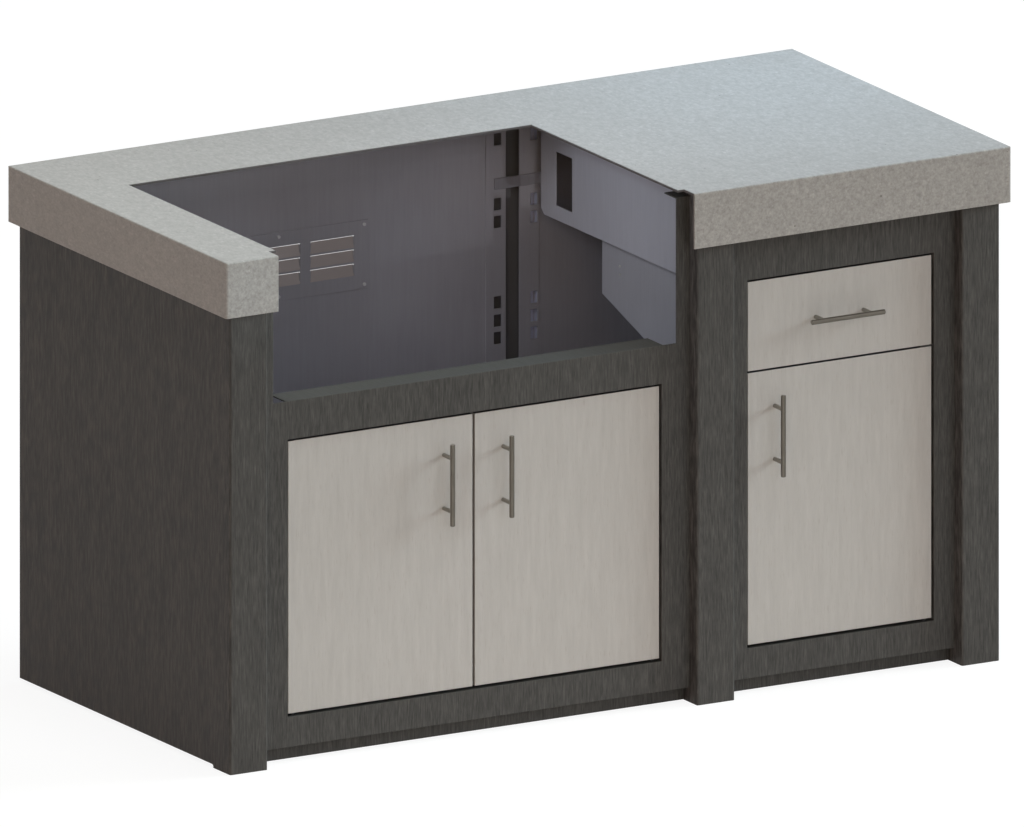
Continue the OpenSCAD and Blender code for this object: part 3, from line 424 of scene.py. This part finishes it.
def metal_finish(name, tones, roughness, brush, brush_cells, metallic=1.0, post_reflection_tone=None):
    """Brushed or plated metal; the brush lines run along the axis whose scale in brush is small.

    Tones are dark, middle and light, and a lighter tone painted on rounded edges as a highlight. A
    post reflection tone is a painted reflection of the pale doors on faces that look away from front
    and back, such as the posts of the handles.
    """
    f = Finish(name)
    brushed = f.noise(f.stretched(brush), brush_cells, detail=4.0, roughness=0.7)
    normal = f.soft_normal(SMALL_EDGE)
    # Painted highlight along rounded edges
    base = f.tint(f.ramp(brushed, tones), f.edge_mask(normal), share=0.3, tone=tones[3])
    if post_reflection_tone:
        # Faces that look sideways, such as the posts, get a painted reflection of the pale doors
        away = f.ranged(f.math("ABSOLUTE", f.facing("Y")), POST_SPAN, (1.0, 0.0))
        base = f.mix(away, base, post_reflection_tone)
    rough = f.ranged(brushed, NOISE_SPAN, roughness)
    bumped = f.bump(brushed, strength=0.1, distance=0.0002, normal=normal)
    return f.surface(base, rough, bumped, {"Metallic": metallic})


def moulded_finish(name, tones, roughness):
    """Moulded rubber or plastic with a fine matt texture, in a dark and a light tone."""
    f = Finish(name)
    here = f.coords.outputs["Object"]
    texture = f.noise(here, scale=900.0, detail=3.0, roughness=0.6)
    cloud = f.noise(here, scale=30.0, detail=2.0, roughness=0.5)
    base = f.ramp(cloud, tones, places=(0.35, 0.65))
    rough = f.ranged(texture, NOISE_SPAN, roughness)
    bumped = f.bump(texture, strength=0.15, distance=0.0003, normal=f.soft_normal(SMALL_EDGE))
    return f.surface(base, rough, bumped)


def grained_sheets():
    """The two powder coats with a wood grain."""
    charcoal = (srgb(61, 60, 59), srgb(81, 80, 78), srgb(100, 99, 96), srgb(124, 123, 121))
    pale = (srgb(187, 184, 180), srgb(193, 190, 186), srgb(199, 196, 192), srgb(216, 212, 208))
    return {
        "charcoal_sheet": grain_finish(
            "charcoal_grain", charcoal, grain=(330.0, 0.22, 0.085), roughness=(0.46, 0.60),
            pore_depth=0.0002, pore_tone=srgb(55, 54, 54), specular=0.12, level_tone=srgb(67, 67, 63)),
        "pale_sheet": grain_finish(
            "pale_grain", pale, grain=(170.0, 0.5, 0.1), roughness=(0.40, 0.52),
            pore_depth=0.00015, pore_tone=srgb(178, 172, 166), specular=0.35, painted_gap_shade=srgb(46, 47, 52)),
    }


def satin_sheets():
    """The lacquered back sheets, the supports and the brackets."""
    back = (srgb(166, 165, 171), srgb(173, 171, 178), srgb(179, 178, 185), srgb(150, 149, 154))
    # Darker copy of the back sheet's tones for the tie bracket: painted shade
    tie = (srgb(136, 134, 139), srgb(142, 140, 146), srgb(149, 147, 153), srgb(165, 163, 168))
    support = (srgb(191, 191, 200), srgb(198, 198, 207), srgb(205, 205, 214), srgb(216, 216, 224))
    # Darker copy of the supports' tones for the drawer bracket: painted shade
    bracket = (srgb(174, 174, 181), srgb(181, 181, 188), srgb(188, 188, 195), srgb(204, 204, 210))
    return {
        "back_sheet": sheet_finish("back_satin", back, BACK_ROUGHNESS, lacquer=LACQUER),
        "post_sheet_painted_inside": sheet_finish("post_satin_painted_inside", back, BACK_ROUGHNESS, painted_post_inside, LACQUER),
        "tie_sheet_painted_shade": sheet_finish("tie_satin_painted_shade", tie, BACK_ROUGHNESS, lacquer=LACQUER),
        "vent_sheet": sheet_finish("vent_satin", back, BACK_ROUGHNESS, louvre_painted_light, LACQUER),
        "galvanised_sheet": sheet_finish("support_satin", support, SUPPORT_ROUGHNESS),
        "bracket_sheet_painted_shade": sheet_finish("bracket_satin_painted_shade", bracket, SUPPORT_ROUGHNESS),
    }


def metals():
    """Zinc plate with a lighter copy as painted light, the brushed nickel of upright and level handles,
    and near-black steel as painted shade.
    """
    nickel = (srgb(81, 77, 70), srgb(98, 93, 85), srgb(115, 110, 101), srgb(150, 145, 137))
    # Light tone of the handle posts: painted reflection of the pale doors
    post = srgb(160, 157, 150)
    zinc = (srgb(176, 176, 175), srgb(190, 190, 189), srgb(204, 204, 203), srgb(220, 220, 219))
    bright = (srgb(196, 196, 198), srgb(206, 206, 208), srgb(216, 216, 218), srgb(228, 228, 230))
    pin_shade_tones = (srgb(26, 26, 27), srgb(32, 32, 33), srgb(39, 39, 40), srgb(58, 58, 59))
    return {
        "zinc_steel": metal_finish(
            "zinc_plate", zinc, (0.30, 0.45), PLATED_BRUSH, brush_cells=300.0, metallic=0.5),
        # Lighter, non-metallic copy of zinc for the vent screws: painted light
        "zinc_painted_light": metal_finish(
            "zinc_painted_light", bright, (0.35, 0.5), PLATED_BRUSH, brush_cells=300.0, metallic=0.0),
        "handle_nickel": metal_finish(
            "brushed_nickel", nickel, NICKEL_ROUGHNESS, UPRIGHT_BRUSH, NICKEL_BRUSH, post_reflection_tone=post),
        "level_nickel": metal_finish(
            "brushed_nickel_level", nickel, NICKEL_ROUGHNESS, LEVEL_BRUSH, NICKEL_BRUSH, post_reflection_tone=post),
        # Near-black steel for the door pins: painted shade
        "steel_painted_shade": metal_finish(
            "steel_painted_shade", pin_shade_tones, (0.45, 0.6), UPRIGHT_BRUSH, brush_cells=900.0, metallic=0.5),
    }


def moulded():
    """Rubber and nylon."""
    # Near-black nylon for the pivot bushes: painted shade
    nylon_shade_tones = (srgb(24, 24, 25), srgb(33, 33, 34))
    grey_rubber = (srgb(86, 83, 82), srgb(97, 94, 93))
    dark_rubber = (srgb(20, 20, 21), srgb(30, 30, 31))
    white_nylon = (srgb(214, 212, 206), srgb(226, 224, 219))
    return {
        "nylon_painted_shade": moulded_finish("nylon_painted_shade", nylon_shade_tones, (0.5, 0.65)),
        "grey_rubber": moulded_finish("grey_rubber", grey_rubber, RUBBER_ROUGHNESS),
        "black_rubber": moulded_finish("black_rubber", dark_rubber, RUBBER_ROUGHNESS),
        "white_nylon": moulded_finish("white_nylon", white_nylon, (0.45, 0.6)),
    }


def finishes():
    """All finishes by the material slot or the own finish that they are for."""
    return {"stone": stone_finish(), **grained_sheets(), **satin_sheets(), **metals(), **moulded()}


def dress_nodes(library):
    """Gives each CAD node the finish of its material slot in the record, or its own."""
    slots = {part["node"]: part["material_slot"] for part in frame["record"]["subparts"]}
    for name, piece in frame["nodes"].items():
        finish = OWN_FINISH.get(name, slots[name])
        piece.data.materials.clear()
        piece.data.materials.append(library[finish])


def seen_directly(tree):
    """1 for rays from the camera and those mirrored or let through by the object."""
    path = tree.nodes.new("ShaderNodeLightPath")
    total = path.outputs["Is Camera Ray"]
    for output in ("Is Glossy Ray", "Is Transmission Ray"):
        larger = tree.nodes.new("ShaderNodeMath")
        larger.operation = "MAXIMUM"
        tree.links.new(total, larger.inputs[0])
        tree.links.new(path.outputs[output], larger.inputs[1])
        total = larger.outputs[0]
    return total


def make_world():
    """A surround that reads as white where it is seen and gives no light."""
    world = bpy.data.worlds.new("surround")
    bpy.context.scene.world = world
    world.use_nodes = True
    tree = world.node_tree
    tree.nodes.clear()
    output = tree.nodes.new("ShaderNodeOutputWorld")
    white = tree.nodes.new("ShaderNodeBackground")
    white.inputs["Color"].default_value = WHITE
    tree.links.new(seen_directly(tree), white.inputs["Strength"])
    tree.links.new(white.outputs[0], output.inputs["Surface"])


def floor_finish():
    """The floor's colour for the light it throws back, and near white with shadows where it is seen."""
    material = bpy.data.materials.new("pale_floor")
    material.use_nodes = True
    tree = material.node_tree
    tree.nodes.clear()
    output = tree.nodes.new("ShaderNodeOutputMaterial")
    plain = tree.nodes.new("ShaderNodeBsdfDiffuse")
    plain.inputs["Color"].default_value = (*FLOOR_COLOUR, 1.0)
    shade = tree.nodes.new("ShaderNodeBsdfDiffuse")
    shade.inputs["Color"].default_value = (*[FLOOR_SHADE_ALBEDO] * 3, 1.0)
    glow = tree.nodes.new("ShaderNodeEmission")
    glow.inputs["Color"].default_value = WHITE
    glow.inputs["Strength"].default_value = FLOOR_GLOW
    shown = tree.nodes.new("ShaderNodeAddShader")
    tree.links.new(shade.outputs[0], shown.inputs[0])
    tree.links.new(glow.outputs[0], shown.inputs[1])
    mix = tree.nodes.new("ShaderNodeMixShader")
    tree.links.new(seen_directly(tree), mix.inputs[0])
    tree.links.new(plain.outputs[0], mix.inputs[1])
    tree.links.new(shown.outputs[0], mix.inputs[2])
    tree.links.new(mix.outputs[0], output.inputs["Surface"])
    return material


def make_floor():
    """A plain pale floor that shows as white, with a faint shadow of the object."""
    mesh = bpy.data.meshes.new("floor")
    h = FLOOR_HALF
    corners = [(-h, -h, FLOOR_Z), (h, -h, FLOOR_Z), (h, h, FLOOR_Z), (-h, h, FLOOR_Z)]
    mesh.from_pydata(corners, [], [(0, 1, 2, 3)])
    floor = bpy.data.objects.new("floor", mesh)
    bpy.context.scene.collection.objects.link(floor)
    mesh.materials.append(floor_finish())


def toward(azimuth, elevation):
    """Unit vector from the object to a place at that azimuth and elevation."""
    a, e = math.radians(azimuth), math.radians(elevation)
    return Vector((math.sin(a) * math.cos(e), -math.cos(a) * math.cos(e), math.sin(e)))


def hang_lamp(name, kind, power, colour, aim):
    """Adds a lamp that shines along aim, and returns the lamp and its holder."""
    lamp = bpy.data.lights.new(name, kind)
    lamp.energy = power
    lamp.color = colour
    holder = bpy.data.objects.new(name, lamp)
    holder.rotation_euler = aim.to_track_quat("-Z", "Y").to_euler()
    bpy.context.scene.collection.objects.link(holder)
    return lamp, holder


def make_lights():
    """The distant lamps and the panel lamps."""
    for name, azimuth, elevation, size, strength, colour in SUNS:
        lamp, holder = hang_lamp(name, "SUN", strength, colour, -toward(azimuth, elevation))
        lamp.angle = math.radians(size)
        holder.visible_glossy = name not in MATT_LAMPS
    for name, place, target, (width, height), spread, power, colour in PANELS:
        lamp, holder = hang_lamp(name, "AREA", power, colour, Vector(target) - Vector(place))
        lamp.shape = "RECTANGLE"
        lamp.size = width
        lamp.size_y = height
        lamp.spread = math.radians(spread)
        holder.location = place


def make_camera():
    """A parallel camera that looks at the object from CAMERA_AZIMUTH and CAMERA_ELEVATION."""
    data = bpy.data.cameras.new("camera")
    data.type = "ORTHO"
    data.ortho_scale = VIEW_WIDTH
    data.clip_end = CAMERA_REACH
    camera = bpy.data.objects.new("camera", data)
    back = toward(CAMERA_AZIMUTH, CAMERA_ELEVATION)
    right = Vector((0.0, 0.0, 1.0)).cross(back).normalized()
    up = back.cross(right)
    centre = Vector((0.0, 0.0, VIEW_CENTRE_Z)) + VIEW_SHIFT_RIGHT * right
    turn = Matrix((right, up, back)).transposed().to_4x4()
    camera.matrix_world = Matrix.Translation(centre + CAMERA_DISTANCE * back) @ turn
    bpy.context.scene.collection.objects.link(camera)
    bpy.context.scene.camera = camera


def main():
    """Dresses the pieces and sets the stage."""
    dress_nodes(finishes())
    make_world()
    make_floor()
    make_lights()
    make_camera()
    bpy.context.scene.view_settings.view_transform = "Standard"


main()
